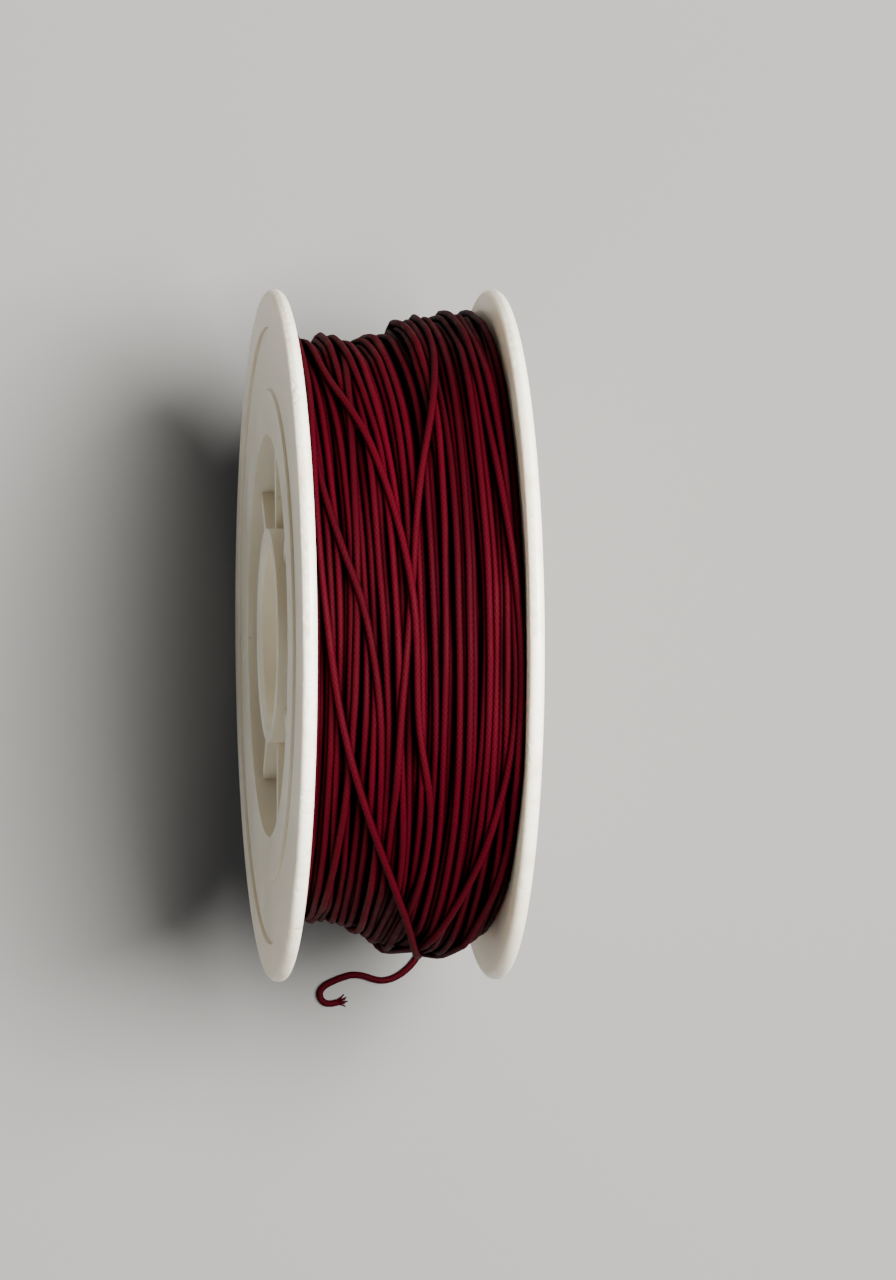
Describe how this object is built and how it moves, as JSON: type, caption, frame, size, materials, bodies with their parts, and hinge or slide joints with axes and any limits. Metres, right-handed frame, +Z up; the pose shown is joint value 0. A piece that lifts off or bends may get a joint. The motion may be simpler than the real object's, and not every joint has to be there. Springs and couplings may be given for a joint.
{
  "type": "waxed thread spool",
  "caption": "Flanged spool of burgundy waxed thread: two moulded discs on a core tube, wound nearly full, its free end lying loose.",
  "frame": {"origin": "on the table under the middle of the spool", "axes": "+X along the spool's axis towards the fuller end of the winding, +Z up, the thread's free end towards -Y"},
  "size_m": [0.0256, 0.0811, 0.0762],
  "materials": {
    "moulded_plastic": "off-white moulded plastic, satin, soft edges",
    "core_board": "grey-brown spiral-wound paper board",
    "tape": "cream paper tape",
    "thread": "burgundy waxed thread, finely braided, slight wax gloss"
  },
  "bodies": {
    "root": {"left_flange": "moulded_plastic", "right_flange": "moulded_plastic", "core_tube": "core_board", "anchor_tape": "tape", "thread_winding": "thread", "thread_tail": "thread"}
  },
  "joints": []
}
